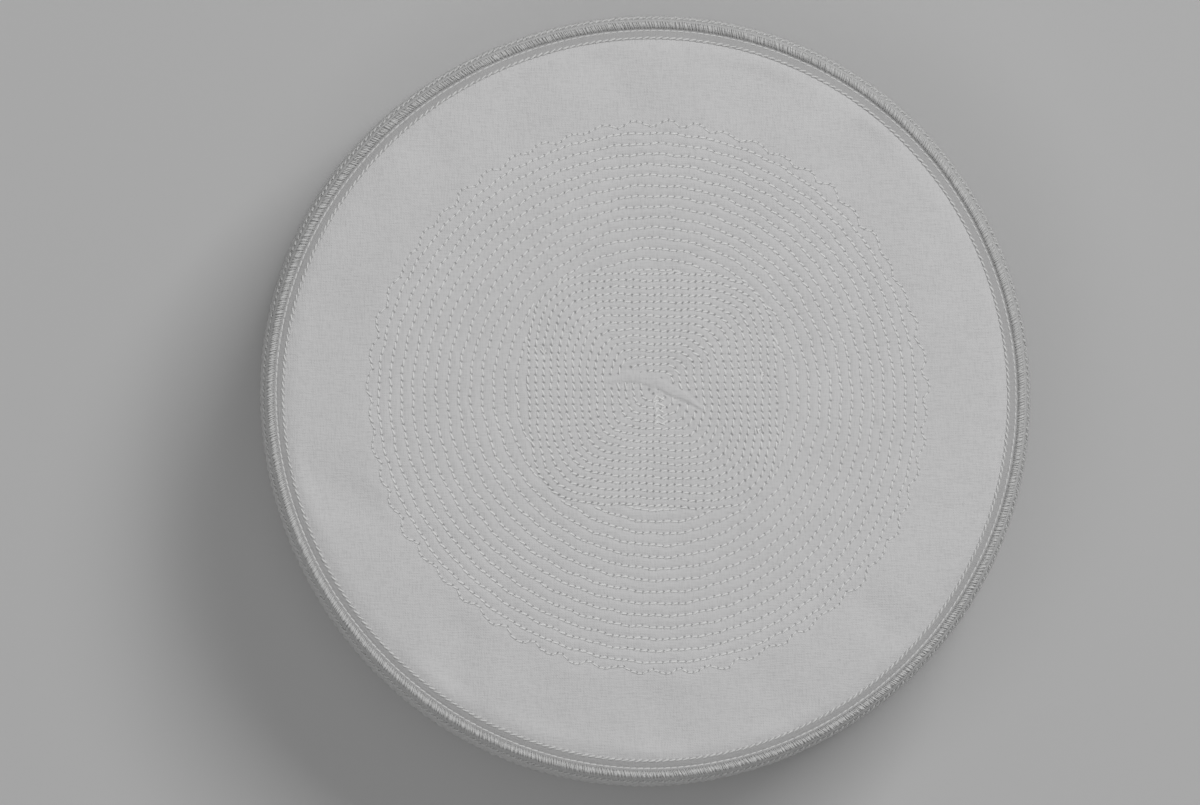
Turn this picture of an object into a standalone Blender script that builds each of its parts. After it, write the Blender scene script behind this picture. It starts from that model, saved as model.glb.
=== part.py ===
"""A flat-topped skullcap of white cotton, built from the four pieces that it is sewn from.

The side band is a stiff stitched wall that widens towards the head opening. The crown is a
round of quilted cotton, set inside the band's top edge. A narrow tape covers the seam between
them, and a whipped roll of cloth runs round outside the tape, on the band's top edge.

Metres, +Z up. The origin is on the surface that the cap rests on, at the middle of its rim.
"""

import math

import bmesh
import bpy
from mathutils import Vector

# Side band
RIM_RADIUS = 0.0940
BAND_HEIGHT = 0.0715
BAND_FLARE = 0.0037
BAND_BELLY = 0.0002
TOP_ROUNDING = 0.0012
TOP_ROUNDING_HEIGHT = 0.0032
BAND_WALL = 0.0020
HEM_HEIGHT = 0.0100
HEM_WALL = 0.0028
EDGE_ROUNDING = 0.0004

# Crown
CROWN_WALL = 0.0014
DOME_RISE = 0.0018
SHOULDER_WIDTH = 0.0056
SHOULDER_DROP = 0.0017

# Quilting of the crown
PLAIN_MARGIN = 0.0243
PATCH_RADIUS = 0.0270
ROW_PITCH = 0.00261
CHANNEL_DEPTH = 0.00035
QUILTING_OFFSET_X = 0.0004
QUILTING_OFFSET_Y = 0.0004
PATCH_OFFSET_X = 0.0013
PATCH_OFFSET_Y = 0.0024

# Tape and roll at the crown's seam
TAPE_WIDTH = 0.00225
TAPE_WALL = 0.0010
TAPE_OVERLAP = 0.0001
ROLL_WIDTH = 0.0016
ROLL_RISE = 0.0015

# Gap between pieces that are sewn together
SEWN_GAP = 0.0003

# Handwork: how deep the crown's puckers are
PUCKER_DEPTH = 0.0006

STEPS_ROUND = 76
MERGE_DISTANCE = 0.000001

# Slow waves in the outline, as shares of the radius
OUTLINE_WAVES = [
    {"times_round": 2, "share": 0.0020, "crest_deg": 57},
    {"times_round": 3, "share": 0.0042, "crest_deg": 38},
    {"times_round": 4, "share": 0.0021, "crest_deg": 66},
]

# Slow waves in the quilting's rings, as shares of the quilting's radius. Each is felt in full
# outside a share of that radius, and less and less inside it.
QUILTING_WAVES = [
    {"times_round": 2, "share": 0.0107, "crest_deg": -21, "full_from": 0.30},
    {"times_round": 3, "share": 0.0075, "crest_deg": -57, "full_from": 1.00},
]

# How far the crown follows the quilting's waves, and not the outline's, by share of its radius
QUILTING_HOLD = [
    {"at_radius": 0.72, "held": 1.00},
    {"at_radius": 0.98, "held": 0.40},
    {"at_radius": 1.03, "held": 0.25},
    {"at_radius": 1.10, "held": 0.00},
]

# Radial puckers of the plain cloth round the quilting. Each runs from the seam to the quilting.
PUCKERS = [
    {"seam_deg": 343, "inner_deg": 336, "spread_deg": 5, "depth": 0.45},
    {"seam_deg": 317, "inner_deg": 316, "spread_deg": 4, "depth": 0.90},
    {"seam_deg": 291, "inner_deg": 294, "spread_deg": 9, "depth": 0.80},
    {"seam_deg": 274, "inner_deg": 269, "spread_deg": 6, "depth": 0.85},
    {"seam_deg": 253, "inner_deg": 246, "spread_deg": 6, "depth": 0.70},
    {"seam_deg": 236, "inner_deg": 228, "spread_deg": 5, "depth": 1.00},
    {"seam_deg": 192, "inner_deg": 205, "spread_deg": 6, "depth": 0.80},
    {"seam_deg": 165, "inner_deg": 163, "spread_deg": 5, "depth": 0.40},
    {"seam_deg": 130, "inner_deg": 132, "spread_deg": 5, "depth": 0.45},
    {"seam_deg": 112, "inner_deg": 120, "spread_deg": 6, "depth": 0.70},
    {"seam_deg": 97, "inner_deg": 93, "spread_deg": 5, "depth": 0.75},
    {"seam_deg": 70, "inner_deg": 72, "spread_deg": 7, "depth": 0.75},
    {"seam_deg": 49, "inner_deg": 51, "spread_deg": 4, "depth": 0.90},
]

# Sizes that follow from the ones above
BAND_TOP_RADIUS = RIM_RADIUS - BAND_FLARE - TOP_ROUNDING
CROWN_RADIUS = BAND_TOP_RADIUS - BAND_WALL - SEWN_GAP
QUILTING_RADIUS = CROWN_RADIUS - PLAIN_MARGIN
TAPE_OUTER_RADIUS = BAND_TOP_RADIUS - BAND_WALL + TAPE_OVERLAP
ROLL_RADIUS = BAND_TOP_RADIUS - ROLL_WIDTH / 2


def clear_scene():
    for item in list(bpy.data.objects):
        bpy.data.objects.remove(item, do_unlink=True)


def cotton(name, colour, roughness):
    material = bpy.data.materials.new(name)
    material.use_nodes = True
    surface = material.node_tree.nodes["Principled BSDF"]
    surface.inputs["Base Color"].default_value = (*colour, 1.0)
    surface.inputs["Roughness"].default_value = roughness
    surface.inputs["Metallic"].default_value = 0.0
    return material


def smooth(share):
    """Runs from 0 to 1 with level ends as share does, and stays there outside it."""
    share = min(1.0, max(0.0, share))
    return share * share * (3 - 2 * share)


def bump(angle_deg, centre_deg, spread_deg):
    """A soft hump round one direction, 1 at its middle."""
    away = (angle_deg - centre_deg + 180) % 360 - 180
    return math.exp(-((away / spread_deg) ** 2))


def read_table(rows, key, value, at):
    """The value at a place between a table's rows, on straight lines from row to row."""
    if at <= rows[0][key]:
        return rows[0][value]
    for low, high in zip(rows, rows[1:]):
        if at <= high[key]:
            share = (at - low[key]) / (high[key] - low[key])
            return low[value] + share * (high[value] - low[value])
    return rows[-1][value]


def outline_share(angle_deg):
    """How far the outline lies outside a true circle, as a share of its radius."""
    return sum(
        wave["share"] * math.cos(math.radians(wave["times_round"] * (angle_deg - wave["crest_deg"])))
        for wave in OUTLINE_WAVES
    )


def quilting_wave(angle_deg, radius):
    """How far the rings of the quilting lie outside true circles."""
    total = 0.0
    for wave in QUILTING_WAVES:
        felt = smooth(radius / (wave["full_from"] * QUILTING_RADIUS))
        turn = math.radians(wave["times_round"] * (angle_deg - wave["crest_deg"]))
        total += wave["share"] * QUILTING_RADIUS * felt * math.cos(turn)
    return total


def pucker(angle_deg, radius):
    """How deep the plain cloth of the crown is creased between the quilting and the seam."""
    across = (radius - QUILTING_RADIUS) / (CROWN_RADIUS - TAPE_WIDTH - QUILTING_RADIUS)
    if across <= 0 or across >= 1:
        return 0.0
    depth = 0.0
    for row in PUCKERS:
        middle = row["inner_deg"] + across * (row["seam_deg"] - row["inner_deg"])
        depth += row["depth"] * bump(angle_deg, middle, row["spread_deg"])
    swell = smooth(2.2 * across) * smooth(5 * (1 - across))
    return PUCKER_DEPTH * depth * swell


def worked(point, is_crown=False):
    """Where a point of the truly round cap lies once the cap is sewn by hand."""
    radius = math.hypot(point.x, point.y)
    angle = math.atan2(point.y, point.x)
    angle_deg = math.degrees(angle)
    held = read_table(QUILTING_HOLD, "at_radius", "held", radius / CROWN_RADIUS)
    held *= smooth(point.z / BAND_HEIGHT)
    outline_wave = radius * outline_share(angle_deg)
    new_radius = radius + outline_wave + held * (quilting_wave(angle_deg, radius) - outline_wave)
    x = new_radius * math.cos(angle)
    y = new_radius * math.sin(angle)
    z = point.z
    if is_crown:
        quilted = 1 - smooth((radius - QUILTING_RADIUS) / PLAIN_MARGIN)
        inwards = min(1.0, max(0.0, (QUILTING_RADIUS - radius) / (QUILTING_RADIUS - PATCH_RADIUS)))
        x += quilted * (QUILTING_OFFSET_X + inwards * (PATCH_OFFSET_X - QUILTING_OFFSET_X))
        y += quilted * (QUILTING_OFFSET_Y + inwards * (PATCH_OFFSET_Y - QUILTING_OFFSET_Y))
        z -= pucker(angle_deg, radius)
    return Vector((x, y, z))


def turned(name, outline, material, closed=True, is_crown=False):
    """Turns an outline of (radius, height) points about Z, and works it into its sewn shape."""
    mesh = bpy.data.meshes.new(name)
    shape = bmesh.new()
    corners = [shape.verts.new((radius, 0.0, height)) for radius, height in outline]
    pairs = list(zip(corners, corners[1:]))
    if closed:
        pairs.append((corners[-1], corners[0]))
    edges = [shape.edges.new(pair) for pair in pairs]
    bmesh.ops.spin(
        shape,
        geom=corners + edges,
        cent=(0, 0, 0),
        axis=(0, 0, 1),
        angle=math.tau,
        steps=STEPS_ROUND,
        use_merge=True,
    )
    bmesh.ops.remove_doubles(shape, verts=shape.verts[:], dist=MERGE_DISTANCE)
    for vert in shape.verts:
        vert.co = worked(vert.co, is_crown)
    bmesh.ops.recalc_face_normals(shape, faces=shape.faces[:])
    shape.to_mesh(mesh)
    shape.free()
    mesh.shade_smooth()
    mesh.set_sharp_from_angle(angle=math.radians(50))
    mesh.materials.append(material)
    piece = bpy.data.objects.new(name, mesh)
    bpy.context.collection.objects.link(piece)
    return piece


def band_radius(height):
    """Outer radius of the side band at a height: a flare with a belly and a rounded top."""
    share = height / BAND_HEIGHT
    past_wall = max(0.0, (height - BAND_HEIGHT + TOP_ROUNDING_HEIGHT) / TOP_ROUNDING_HEIGHT)
    belly = 4 * BAND_BELLY * share * (1 - share)
    return RIM_RADIUS - BAND_FLARE * share + belly - TOP_ROUNDING * past_wall**2


def crown_level(radius):
    """Height of the crown's upper face: a low dome that rolls over to the seam."""
    dome = DOME_RISE * (1 - (radius / CROWN_RADIUS) ** 2)
    past_shoulder = max(0.0, (radius - CROWN_RADIUS + SHOULDER_WIDTH) / SHOULDER_WIDTH)
    return BAND_HEIGHT + dome + SHOULDER_DROP * (1 - past_shoulder**2)


def add_side_band():
    """The stiff wall: stitched cotton layers, hemmed by turning the lower edge up inside."""
    wall_top = BAND_HEIGHT - TOP_ROUNDING_HEIGHT
    wall_levels = [wall_top, 0.75 * BAND_HEIGHT, 0.5 * BAND_HEIGHT, 0.3 * BAND_HEIGHT]
    outer = [(band_radius(BAND_HEIGHT) - EDGE_ROUNDING, BAND_HEIGHT)]
    rounded_levels = [BAND_HEIGHT - EDGE_ROUNDING, BAND_HEIGHT - TOP_ROUNDING_HEIGHT / 2]
    for level in rounded_levels + wall_levels + [HEM_HEIGHT, EDGE_ROUNDING]:
        outer.append((band_radius(level), level))
    outer.append((RIM_RADIUS - EDGE_ROUNDING, 0.0))
    hem_top = HEM_HEIGHT + HEM_WALL - BAND_WALL
    inner = [
        (RIM_RADIUS - HEM_WALL + EDGE_ROUNDING, 0.0),
        (band_radius(EDGE_ROUNDING) - HEM_WALL, EDGE_ROUNDING),
        (band_radius(HEM_HEIGHT) - HEM_WALL, HEM_HEIGHT),
        (band_radius(hem_top) - BAND_WALL, hem_top),
    ]
    for level in reversed([BAND_HEIGHT] + wall_levels[:3]):
        inner.append((band_radius(level) - BAND_WALL, level))
    turned("side_band", outer + inner, cotton("stitched_cotton", (0.78, 0.78, 0.765), 0.9))


def add_crown():
    """The quilted round: rows of stitching sink into the cloth and leave soft ribs between."""
    row_count = max(0, int((QUILTING_RADIUS - PATCH_RADIUS) / ROW_PITCH) + 1)
    rows = [QUILTING_RADIUS - ROW_PITCH * number for number in reversed(range(row_count))]
    top = [(0.0, crown_level(0.0))]
    if rows:
        top.append((rows[0] - ROW_PITCH, crown_level(rows[0] - ROW_PITCH)))
    for radius in rows:
        rib = radius + ROW_PITCH / 2
        top.append((radius, crown_level(radius) - CHANNEL_DEPTH))
        top.append((rib, crown_level(rib)))
    plain_start = (rows[-1] if rows else PATCH_RADIUS) + ROW_PITCH
    shoulder_start = CROWN_RADIUS - SHOULDER_WIDTH
    for share in (0.15, 0.4, 0.6, 0.8, 1.0):
        radius = plain_start + share * (shoulder_start - plain_start)
        top.append((radius, crown_level(radius)))
    for share in (0.35, 0.65, 0.85):
        radius = shoulder_start + share * SHOULDER_WIDTH
        top.append((radius, crown_level(radius)))
    top.append((CROWN_RADIUS, crown_level(CROWN_RADIUS)))
    underside = []
    for share in (1.0, 0.965, 0.93, 0.84, 0.76, 0.3, 0.0):
        radius = share * CROWN_RADIUS
        underside.append((radius, crown_level(radius) - CROWN_WALL))
    material = cotton("crown_cotton", (0.82, 0.82, 0.81), 0.85)
    turned("crown_top", top + underside, material, closed=False, is_crown=True)


def add_edge_tape():
    """A folded strip of the same cotton, stitched down along both edges over the seam."""
    inner_radius = TAPE_OUTER_RADIUS - TAPE_WIDTH
    corner = TAPE_WALL / 3
    under = [
        (inner_radius, crown_level(inner_radius) + SEWN_GAP),
        (CROWN_RADIUS, crown_level(CROWN_RADIUS) + SEWN_GAP),
        (TAPE_OUTER_RADIUS, BAND_HEIGHT + SEWN_GAP),
    ]
    outer_top = BAND_HEIGHT + SEWN_GAP + TAPE_WALL
    middle = TAPE_OUTER_RADIUS - TAPE_WIDTH / 2
    inner_top = crown_level(inner_radius) + SEWN_GAP + TAPE_WALL
    over = [
        (TAPE_OUTER_RADIUS, outer_top - corner),
        (TAPE_OUTER_RADIUS - corner, outer_top),
        (middle, (outer_top + inner_top) / 2 + corner / 2),
        (inner_radius + corner, inner_top),
        (inner_radius, inner_top - corner),
    ]
    turned("edge_tape", under + over, cotton("tape_cotton", (0.80, 0.80, 0.79), 0.85))


def add_edge_roll():
    """The whipped ridge: cloth rolled over the band's top edge and bound with slanting thread."""
    foot = BAND_HEIGHT + SEWN_GAP
    sides = 8
    section = []
    for number in range(sides):
        turn = math.tau * (number + 0.5) / sides
        radius = ROLL_RADIUS + ROLL_WIDTH / 2 * math.cos(turn) / math.cos(math.pi / sides)
        height = foot + ROLL_RISE / 2 * (1 + math.sin(turn) / math.cos(math.pi / sides))
        section.append((radius, max(foot, height)))
    turned("edge_roll", section, cotton("whipped_cotton", (0.82, 0.82, 0.805), 0.8))


def centre_on_rim():
    """Moves every piece sideways so that the middle of the rim's outline is at the origin."""
    rim = bpy.data.objects["side_band"].data.vertices
    across = [vert.co.x for vert in rim]
    along = [vert.co.y for vert in rim]
    shift = Vector((-(min(across) + max(across)) / 2, -(min(along) + max(along)) / 2, 0.0))
    for item in bpy.data.objects:
        for vert in item.data.vertices:
            vert.co += shift


clear_scene()
add_side_band()
add_crown()
add_edge_tape()
add_edge_roll()
centre_on_rim()
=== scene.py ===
import math

import bpy
import numpy as np
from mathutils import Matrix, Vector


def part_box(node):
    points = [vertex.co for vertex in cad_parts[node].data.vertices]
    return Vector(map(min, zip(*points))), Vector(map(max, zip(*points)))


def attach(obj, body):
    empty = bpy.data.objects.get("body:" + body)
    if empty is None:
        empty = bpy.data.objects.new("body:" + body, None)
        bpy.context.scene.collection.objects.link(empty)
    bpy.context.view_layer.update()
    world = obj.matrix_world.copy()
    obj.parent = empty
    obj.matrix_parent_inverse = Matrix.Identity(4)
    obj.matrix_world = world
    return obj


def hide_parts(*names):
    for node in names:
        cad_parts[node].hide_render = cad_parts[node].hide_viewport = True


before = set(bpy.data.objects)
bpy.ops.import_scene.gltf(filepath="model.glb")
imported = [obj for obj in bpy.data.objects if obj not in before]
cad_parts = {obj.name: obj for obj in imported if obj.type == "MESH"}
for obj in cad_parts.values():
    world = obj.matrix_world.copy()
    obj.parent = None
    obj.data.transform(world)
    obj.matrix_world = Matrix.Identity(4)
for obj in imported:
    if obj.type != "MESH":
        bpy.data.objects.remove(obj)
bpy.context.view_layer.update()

# Crown cloth
# The flat top of the cap is one round of plain-weave white cotton over a second layer. It is
# quilted by machine in rings round a square middle. The outer part is plain and rolls down to
# the seam, where gathering has left soft puckers.
RIM_RADIUS = 0.0940
BAND_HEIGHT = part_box("side_band")[1].z
BAND_FLARE = 0.0037
BAND_BELLY = 0.0002
TOP_ROUNDING = 0.0012
TOP_ROUNDING_HEIGHT = 0.0032
BAND_WALL = 0.0020
SEWN_GAP = 0.0003
BAND_TOP_RADIUS = RIM_RADIUS - BAND_FLARE - TOP_ROUNDING
CROWN_RADIUS = BAND_TOP_RADIUS - BAND_WALL - SEWN_GAP
CROWN_WALL = 0.0014
DOME_RISE = 0.0018
SHOULDER_WIDTH = 0.0056
SHOULDER_DROP = 0.0017
PLAIN_MARGIN = 0.0241
QUILTING_RADIUS = CROWN_RADIUS - PLAIN_MARGIN
QUILTING_OFFSET = (0.0005, 0.0001)
MIDDLE_OFFSET = (0.0015, 0.0021)
MIDDLE_RADIUS = 0.0270
TAPE_WIDTH = 0.00225
RING_COUNT = 14
RING_PITCH = 0.00261
RING_GROOVE = 0.00024
RING_STITCH = 0.00170
LOOPS_IN_A_PITCH = 5
STEPS_ROUND = 392
PUCKER_DEPTH = 0.0010
SLACK_RISE = 0.00003
GATHER_RISE = 0.00005
GATHERED_WIDTH = 0.0085
SLOW_STRAY = 0.00014
QUICK_STRAY = 0.00012
CROWN_TINTS = ((0.74, 0.737, 0.739), (0.68, 0.677, 0.679))
OUTLINE_WAVES = [
    {"times_round": 2, "share": 0.0020, "crest_deg": 57, "full_from": 0},
    {"times_round": 3, "share": 0.0042, "crest_deg": 38, "full_from": 0},
    {"times_round": 4, "share": 0.0021, "crest_deg": 66, "full_from": 0},
]
QUILTING_WAVES = [
    {"times_round": 2, "share": 0.0107, "crest_deg": -21, "full_from": 0.30},
    {"times_round": 3, "share": 0.0075, "crest_deg": -57, "full_from": 1.00},
]
QUILTING_HOLD = [(0.72, 1.00), (0.98, 0.40), (1.03, 0.25), (1.10, 0.00)]
PUCKERS = [
    {"seam_deg": 343, "inner_deg": 336, "spread_deg": 5, "depth": 0.45},
    {"seam_deg": 317, "inner_deg": 316, "spread_deg": 4, "depth": 0.90},
    {"seam_deg": 291, "inner_deg": 294, "spread_deg": 9, "depth": 0.80},
    {"seam_deg": 274, "inner_deg": 269, "spread_deg": 6, "depth": 0.85},
    {"seam_deg": 253, "inner_deg": 246, "spread_deg": 6, "depth": 0.70},
    {"seam_deg": 236, "inner_deg": 228, "spread_deg": 5, "depth": 1.00},
    {"seam_deg": 192, "inner_deg": 205, "spread_deg": 6, "depth": 0.80},
    {"seam_deg": 165, "inner_deg": 163, "spread_deg": 5, "depth": 0.40},
    {"seam_deg": 130, "inner_deg": 132, "spread_deg": 5, "depth": 0.45},
    {"seam_deg": 112, "inner_deg": 120, "spread_deg": 6, "depth": 0.70},
    {"seam_deg": 97, "inner_deg": 93, "spread_deg": 5, "depth": 0.75},
    {"seam_deg": 70, "inner_deg": 72, "spread_deg": 7, "depth": 0.75},
    {"seam_deg": 49, "inner_deg": 51, "spread_deg": 4, "depth": 0.90},
]

# The square middle, and the short fold across it, placed from its centre
MIDDLE_HALF_WIDTH = 0.0286
MIDDLE_HALF_HEIGHT = 0.0277
MIDDLE_SQUARENESS = 4.2
MIDDLE_PITCH = 0.00172
MIDDLE_STITCH = 0.00168
MIDDLE_GROOVE = 0.00020
FOLD_POINTS = [(-0.0114, 0.0007), (-0.0040, 0.0029), (0.0030, 0.0006), (0.0120, -0.0048)]
FOLD_HALF_WIDTH = 0.0016
FOLD_RISE = 0.00018
FOLD_CREASE = 0.00017
FOLD_EDGE_WIDTH = 0.0007
LOWER_CREASE_WIDTH = 0.0006
UPPER_CREASE_WIDTH = 0.0005
FOLD_TIP_SHARE = 0.3
KNOT_PLACES = [(-0.0250, 0.0086), (0.0240, -0.0095), (0.0254, 0.0034)]
KNOT_DENT = 0.00060
KNOT_SIZE = (0.0012, 0.0008)
# Radius round each knot that takes a needle hole's painted shade
KNOT_SHADE_RADIUS = 0.00055

# The scalloped line outside the rings
SCALLOPS = 56
SCALLOP_RADIUS = QUILTING_RADIUS + 0.0012
SCALLOP_RISE = 0.0016
SCALLOP_GROOVE = 0.00018
SCALLOP_GROOVE_WIDTH = 0.0011
STITCHES_IN_A_SCALLOP = 5

# The weave's yarns and slubs, and the needle holes, with painted shade in the holes and in the low places
# between slubs
YARN_PITCH = 0.00030
WEAVE_HEIGHT = 0.000014
SLUB_HEIGHT = 0.00013
SLUB_SIZES = ((0.0022, 0.00035, 0.01), (0.00035, 0.0022, 0.01))
NAP_HEIGHT = 0.00004
NAP_SIZE = 0.00025
CLOUD_SIZE = 0.016
HOLE_RADIUS = 0.00010
HOLE_FADE_RADIUS = 0.00042
HOLE_DEPTH = 0.00015
# How strong the painted shade in a needle hole is, and the colour that all painted shade of the cloth blends
# towards
HOLE_PAINTED_SHADE = 0.52
SHADE_COLOUR = (0.16, 0.16, 0.165)


def smooth(share):
    """Runs from 0 to 1 with level ends as share does, and stays there outside it."""
    share = np.clip(share, 0.0, 1.0)
    return share * share * (3 - 2 * share)


def hump(angle_deg, centre_deg, spread_deg):
    """A soft hump round one direction, 1 at its middle."""
    away = (angle_deg - centre_deg + 180) % 360 - 180
    return np.exp(-((away / spread_deg) ** 2))


def wave(rows, share_of_radius, turn):
    """How far a table of slow waves lies outside a true circle, as a share of the radius."""
    total = 0.0
    for row in rows:
        felt = smooth(share_of_radius / row["full_from"]) if row["full_from"] else 1.0
        crest = np.radians(row["crest_deg"])
        total = total + row["share"] * felt * np.cos(row["times_round"] * (turn - crest))
    return total


def as_sewn(radius, turn, height):
    """Where a point of the truly round cap lies, sideways, once the cap is sewn by hand."""
    outline_wave = radius * wave(OUTLINE_WAVES, 1.0, turn)
    ring_wave = QUILTING_RADIUS * wave(QUILTING_WAVES, radius / QUILTING_RADIUS, turn)
    held = np.interp(radius / CROWN_RADIUS, *zip(*QUILTING_HOLD)) * smooth(height / BAND_HEIGHT)
    sewn_radius = radius + outline_wave + held * (ring_wave - outline_wave)
    return sewn_radius * np.cos(turn), sewn_radius * np.sin(turn)


def middle_of_rim():
    """The middle of the rim's outline, which the frame has at its origin."""
    rim_x, rim_y = as_sewn(RIM_RADIUS, np.linspace(0.0, math.tau, 721), 0.0)
    return (rim_x.min() + rim_x.max()) / 2, (rim_y.min() + rim_y.max()) / 2


RIM_MIDDLE = middle_of_rim()


def crown_level(radius):
    """Height of the crown's upper face: a low dome that rolls over to the seam."""
    dome = DOME_RISE * (1 - (radius / CROWN_RADIUS) ** 2)
    past_shoulder = np.maximum(0.0, (radius - CROWN_RADIUS + SHOULDER_WIDTH) / SHOULDER_WIDTH)
    return BAND_HEIGHT + dome + SHOULDER_DROP * (1 - past_shoulder**2)


def pucker(angle_deg, radius):
    """How deep the plain cloth is creased between the rings and the seam."""
    across = (radius - QUILTING_RADIUS) / (CROWN_RADIUS - TAPE_WIDTH - QUILTING_RADIUS)
    depth = 0.0
    for row in PUCKERS:
        middle = row["inner_deg"] + across * (row["seam_deg"] - row["inner_deg"])
        depth = depth + row["depth"] * hump(angle_deg, middle, row["spread_deg"])
    swell = smooth(2.2 * across) * smooth(5 * (1 - across))
    return PUCKER_DEPTH * depth * swell


def groove(row_number):
    """1 on each whole row number, falling to 0 halfway between rows, with a crease at the row."""
    return (1 - 2 * np.abs(row_number - np.round(row_number))) ** 2


def ring_number(radius):
    return (QUILTING_RADIUS - radius) / RING_PITCH


def middle_level(x, y):
    """0 at the centre of the square middle, 1 on its outline."""
    power = MIDDLE_SQUARENESS
    across = (np.abs(x) / MIDDLE_HALF_WIDTH) ** power
    up = (np.abs(y) / MIDDLE_HALF_HEIGHT) ** power
    return (across + up) ** (1 / power)


def middle_row(level):
    """The number of the sewn row at a level of the square middle, from 0 at its outline."""
    return (1 - level) * MIDDLE_HALF_WIDTH / MIDDLE_PITCH


def fold(x, y):
    """How far a place lies above the fold's middle line, the half width there, the share along it."""
    line = np.polyfit(*zip(*FOLD_POINTS), 3)
    left, right = FOLD_POINTS[0][0], FOLD_POINTS[-1][0]
    share = np.clip((x - left) / (right - left), 0.0, 1.0)
    return y - np.polyval(line, x), FOLD_HALF_WIDTH * np.sin(np.pi * share) ** 0.6, share


def is_on_fold(x, y, margin=0.0):
    above, half_width, _ = fold(x, y)
    return (np.abs(above) < half_width + margin) & (half_width > FOLD_TIP_SHARE * FOLD_HALF_WIDTH)


def scallop_number(turn):
    """The number of the scallop at a turn. Some scallops are sewn longer than others."""
    uneven = 0.010 * np.sin(5 * turn + 1.0) + 0.004 * np.sin(13 * turn)
    return (turn + uneven) * SCALLOPS / math.tau


def scallop_radius(turn):
    """Radius of the scalloped line, which swings out in one arc after another."""
    within = np.mod(scallop_number(turn), 1.0)
    rise = SCALLOP_RISE * (1 + 0.20 * np.sin(9 * turn + 0.5) + 0.15 * np.sin(23 * turn))
    return SCALLOP_RADIUS + rise * (1 - (2 * within - 1) ** 2)


def quilted(radius, turn):
    """How far the sewing pulls the crown's face down, or the fold lifts it where this is negative."""
    x, y = radius * np.cos(turn), radius * np.sin(turn)
    level = middle_level(x, y)
    rings = ring_number(radius)
    in_rings = (level > 1) * (rings > -0.5) * (rings < RING_COUNT)
    depth = RING_GROOVE * groove(rings) * in_rings
    depth = depth + MIDDLE_GROOVE * groove(middle_row(level)) * (level <= 1.02)
    near_scallop = (radius - scallop_radius(turn)) / SCALLOP_GROOVE_WIDTH
    depth = depth + SCALLOP_GROOVE * np.exp(-(near_scallop**2)) * (radius > QUILTING_RADIUS)
    for knot_x, knot_y in KNOT_PLACES:
        away = ((x - knot_x) / KNOT_SIZE[0]) ** 2 + ((y - knot_y) / KNOT_SIZE[1]) ** 2
        depth = depth + KNOT_DENT * np.exp(-away)
    above, half_width, share = fold(x, y)
    lifted = FOLD_RISE * smooth((half_width - np.abs(above)) / FOLD_EDGE_WIDTH)
    depth = np.where(is_on_fold(x, y), -lifted, depth)
    is_edge = half_width > FOLD_TIP_SHARE * FOLD_HALF_WIDTH
    # The crease below the fold deepens to its right end, and the one above it is faint.
    lower_edge = np.exp(-(((above + half_width) / LOWER_CREASE_WIDTH) ** 2)) * (0.1 + share)
    upper_edge = np.exp(-(((above - half_width) / UPPER_CREASE_WIDTH) ** 2))
    return depth + FOLD_CREASE * (lower_edge + 0.3 * upper_edge) * is_edge


def slack(radius, turn):
    """Slight unevenness of the cloth, a few hundredths of a millimetre high."""
    x, y = radius * np.cos(turn), radius * np.sin(turn)
    waves = np.sin(430 * x + 130 * y + 1.0) + np.sin(-210 * x + 390 * y + 2.2)
    waves = waves + 0.7 * np.sin(760 * x - 540 * y + 0.4) + 0.6 * np.sin(250 * x + 920 * y + 4.0)
    gathers = np.sin(83 * turn) + np.sin(127 * turn + 1.7) + 0.8 * np.sin(191 * turn + 0.6)
    near_seam = smooth((radius - CROWN_RADIUS + GATHERED_WIDTH) / 0.0060)
    return SLACK_RISE * waves + GATHER_RISE * gathers * near_seam


def wander(x, y):
    """How far the hand-guided sewing strays sideways from its true rings and rows."""
    slow_x, slow_y = np.sin(310 * x + 640 * y), np.sin(590 * x - 350 * y + 2.0)
    quick_x, quick_y = np.sin(1100 * y - 700 * x + 1.3), np.sin(1200 * x + 500 * y + 0.4)
    return SLOW_STRAY * slow_x + QUICK_STRAY * quick_x, SLOW_STRAY * slow_y + QUICK_STRAY * quick_y


def on_crown(radius, turn, below=0.0):
    """A place on the crown's face, or at a depth below its unquilted face, as it is sewn."""
    height = crown_level(radius) - below
    quilting = 1 - smooth((radius - QUILTING_RADIUS) / PLAIN_MARGIN)
    inwards = np.clip((QUILTING_RADIUS - radius) / (QUILTING_RADIUS - MIDDLE_RADIUS), 0.0, 1.0)
    sewn = as_sewn(radius, turn, height)
    stray = wander(radius * np.cos(turn), radius * np.sin(turn))
    places = []
    for axis in (0, 1):
        offset = QUILTING_OFFSET[axis] + inwards * (MIDDLE_OFFSET[axis] - QUILTING_OFFSET[axis])
        places.append(sewn[axis] + quilting * (offset + stray[axis]) - RIM_MIDDLE[axis])
    free = smooth((CROWN_RADIUS - TAPE_WIDTH - radius) / 0.001)
    height = height - pucker(np.degrees(turn), radius) + slack(radius, turn) * free
    return np.stack([*places, height], axis=-1)


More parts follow.
